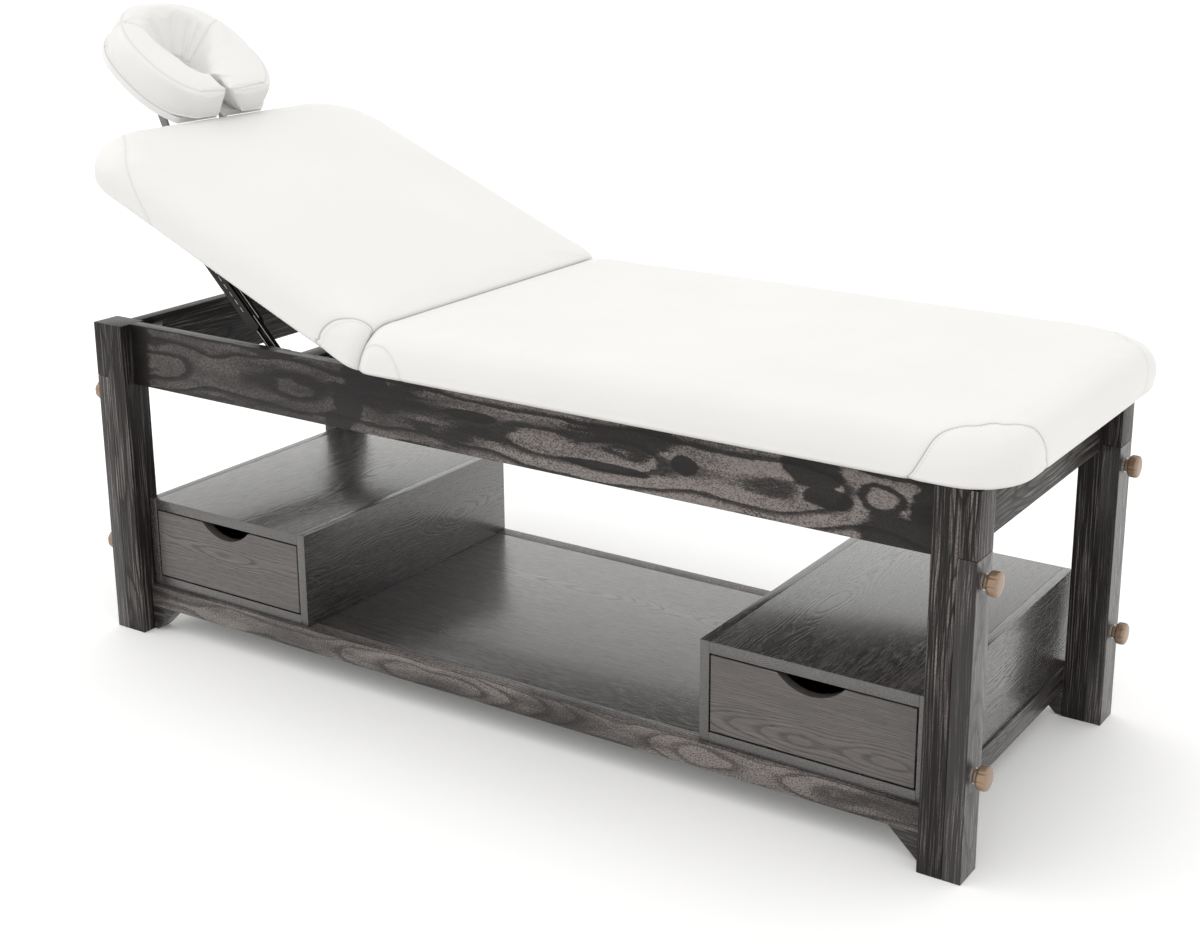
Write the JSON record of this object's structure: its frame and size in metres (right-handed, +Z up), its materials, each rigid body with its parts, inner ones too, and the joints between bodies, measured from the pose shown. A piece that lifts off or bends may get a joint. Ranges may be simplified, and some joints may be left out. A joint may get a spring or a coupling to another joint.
{
  "type": "spa bed with cabinet base",
  "caption": "Wooden spa bed with a padded lifting back section, a face cradle, height-adjustable legs and drawer cabinets on a lower shelf.",
  "frame": {"origin": "on the floor, under the middle of the whole bed's length and width", "axes": "+X along the bed from the head end to the foot end, +Y across it away from the drawer fronts, +Z up"},
  "size_m": [2.125, 0.752, 1.2234],
  "materials": {
    "stained_wood": "black open-grain stain, satin",
    "drawer_wood": "clear sealed plywood",
    "runner_steel": "zinc plated",
    "bronze_knob": "bronze coloured, satin",
    "white_vinyl": "soft white vinyl",
    "black_steel": "black, satin",
    "grey_paint": "grey, satin"
  },
  "bodies": {
    "bed_frame": {"side_rail_near": "stained_wood", "side_rail_far": "stained_wood", "end_rail_head": "stained_wood", "end_rail_foot": "stained_wood", "cross_rails": "stained_wood", "hinge_rail": "stained_wood", "corner_blocks": "stained_wood", "leg_posts": "stained_wood", "lower_side_rails": "stained_wood", "lower_end_rails": "stained_wood", "gussets": "stained_wood", "shelf": "stained_wood", "shelf_cleats": "stained_wood", "cabinet_head_case": "stained_wood", "cabinet_foot_case": "stained_wood", "runners_head_fixed": "runner_steel", "runners_foot_fixed": "runner_steel", "flat_board": "drawer_wood", "flat_pad": "white_vinyl", "hinge_leaves_frame": "runner_steel", "hinge_pins": "runner_steel", "stay_brackets": "black_steel"},
    "back_section": {"back_board": "drawer_wood", "back_pad": "white_vinyl", "hinge_leaves_back": "runner_steel", "stay_mounts": "black_steel", "rod_sockets": "runner_steel"},
    "cradle_frame": {"cradle_rods": "runner_steel", "cradle_yoke": "grey_paint"},
    "cradle_rest": {"cradle_platform": "white_vinyl", "cradle_cushion": "white_vinyl"},
    "cradle_lock": {"cradle_lever": "black_steel"},
    "stay_upper_near": {"stay_outer_near": "black_steel"},
    "stay_lower_near": {"stay_inner_near": "black_steel"},
    "stay_upper_far": {"stay_outer_far": "black_steel"},
    "stay_lower_far": {"stay_inner_far": "black_steel"},
    "drawer_head": {"drawer_head_front": "stained_wood", "drawer_head_box": "drawer_wood", "runners_head_sliding": "runner_steel"},
    "drawer_foot": {"drawer_foot_front": "stained_wood", "drawer_foot_box": "drawer_wood", "runners_foot_sliding": "runner_steel"},
    "leg_head_near": {"leg_board_head_near": "stained_wood", "clamp_parts_head_near": "runner_steel"},
    "knob_head_near_top_body": {"knob_head_near_top": "bronze_knob"},
    "knob_head_near_low_body": {"knob_head_near_low": "bronze_knob"},
    "leg_head_far": {"leg_board_head_far": "stained_wood", "clamp_parts_head_far": "runner_steel"},
    "knob_head_far_top_body": {"knob_head_far_top": "bronze_knob"},
    "knob_head_far_low_body": {"knob_head_far_low": "bronze_knob"},
    "leg_foot_near": {"leg_board_foot_near": "stained_wood", "clamp_parts_foot_near": "runner_steel"},
    "knob_foot_near_top_body": {"knob_foot_near_top": "bronze_knob"},
    "knob_foot_near_low_body": {"knob_foot_near_low": "bronze_knob"},
    "leg_foot_far": {"leg_board_foot_far": "stained_wood", "clamp_parts_foot_far": "runner_steel"},
    "knob_foot_far_top_body": {"knob_foot_far_top": "bronze_knob"},
    "knob_foot_far_low_body": {"knob_foot_far_low": "bronze_knob"}
  },
  "joints": [
    {"name": "back_tilt", "type": "hinge", "parent": "bed_frame", "child": "back_section", "pos_m": [-0.17549, 0, 0.6375], "axis": [0, 1, 0], "range_deg": [-23.3, 16.7]},
    {"name": "stay_swing_near", "type": "hinge", "parent": "back_section", "child": "stay_upper_near", "pos_m": [-0.62883, -0.278, 0.81859], "axis": [0, 1, 0], "range_deg": [-9, 6.5]},
    {"name": "stay_slide_near", "type": "slide", "parent": "stay_upper_near", "child": "stay_lower_near", "axis": [0.6977, 0, -0.7164], "range_m": [-0.0715, 0.0515]},
    {"name": "stay_swing_far", "type": "hinge", "parent": "back_section", "child": "stay_upper_far", "pos_m": [-0.62883, 0.278, 0.81859], "axis": [0, 1, 0], "range_deg": [-9, 6.5]},
    {"name": "stay_slide_far", "type": "slide", "parent": "stay_upper_far", "child": "stay_lower_far", "axis": [0.6977, 0, -0.7164], "range_m": [-0.0715, 0.0515]},
    {"name": "cradle_pull", "type": "slide", "parent": "back_section", "child": "cradle_frame", "axis": [-0.9184, 0, 0.3955], "range_m": [0, 0.075]},
    {"name": "cradle_tilt", "type": "hinge", "parent": "cradle_frame", "child": "cradle_rest", "pos_m": [-0.93683, 0, 1.06664], "axis": [0, 1, 0], "range_deg": [-45, 0]},
    {"name": "cradle_lock_turn", "type": "hinge", "parent": "cradle_frame", "child": "cradle_lock", "pos_m": [-0.93683, -0.089, 1.06664], "axis": [0, 1, 0], "range_deg": [-40, 60]},
    {"name": "drawer_head_slide", "type": "slide", "parent": "bed_frame", "child": "drawer_head", "axis": [0, -1, 0], "range_m": [0, 0.32]},
    {"name": "drawer_foot_slide", "type": "slide", "parent": "bed_frame", "child": "drawer_foot", "axis": [0, -1, 0], "range_m": [0, 0.32]},
    {"name": "leg_head_near_extend", "type": "slide", "parent": "bed_frame", "child": "leg_head_near", "axis": [0, 0, -1], "range_m": [0, 0.125]},
    {"name": "knob_head_near_top_turn", "type": "hinge", "parent": "leg_head_near", "child": "knob_head_near_top_body", "pos_m": [-0.86249, -0.32, 0.494], "axis": [1, 0, 0], "range_deg": [-360, 360]},
    {"name": "knob_head_near_low_turn", "type": "hinge", "parent": "leg_head_near", "child": "knob_head_near_low_body", "pos_m": [-0.86249, -0.32, 0.176], "axis": [1, 0, 0], "range_deg": [-360, 360]},
    {"name": "leg_head_far_extend", "type": "slide", "parent": "bed_frame", "child": "leg_head_far", "axis": [0, 0, -1], "range_m": [0, 0.125]},
    {"name": "knob_head_far_top_turn", "type": "hinge", "parent": "leg_head_far", "child": "knob_head_far_top_body", "pos_m": [-0.86249, 0.32, 0.494], "axis": [1, 0, 0], "range_deg": [-360, 360]},
    {"name": "knob_head_far_low_turn", "type": "hinge", "parent": "leg_head_far", "child": "knob_head_far_low_body", "pos_m": [-0.86249, 0.32, 0.176], "axis": [1, 0, 0], "range_deg": [-360, 360]},
    {"name": "leg_foot_near_extend", "type": "slide", "parent": "bed_frame", "child": "leg_foot_near", "axis": [0, 0, -1], "range_m": [0, 0.125]},
    {"name": "knob_foot_near_top_turn", "type": "hinge", "parent": "leg_foot_near", "child": "knob_foot_near_top_body", "pos_m": [1.01551, -0.32, 0.494], "axis": [1, 0, 0], "range_deg": [-360, 360]},
    {"name": "knob_foot_near_low_turn", "type": "hinge", "parent": "leg_foot_near", "child": "knob_foot_near_low_body", "pos_m": [1.01551, -0.32, 0.176], "axis": [1, 0, 0], "range_deg": [-360, 360]},
    {"name": "leg_foot_far_extend", "type": "slide", "parent": "bed_frame", "child": "leg_foot_far", "axis": [0, 0, -1], "range_m": [0, 0.125]},
    {"name": "knob_foot_far_top_turn", "type": "hinge", "parent": "leg_foot_far", "child": "knob_foot_far_top_body", "pos_m": [1.01551, 0.32, 0.494], "axis": [1, 0, 0], "range_deg": [-360, 360]},
    {"name": "knob_foot_far_low_turn", "type": "hinge", "parent": "leg_foot_far", "child": "knob_foot_far_low_body", "pos_m": [1.01551, 0.32, 0.176], "axis": [1, 0, 0], "range_deg": [-360, 360]}
  ],
  "couplings": [
    {"joint": "stay_swing_near", "follows": "back_tilt", "ratio": 0.376},
    {"joint": "stay_slide_near", "follows": "back_tilt", "m_per_rad": 0.17246},
    {"joint": "stay_swing_far", "follows": "back_tilt", "ratio": 0.376},
    {"joint": "stay_slide_far", "follows": "back_tilt", "m_per_rad": 0.17246}
  ]
}
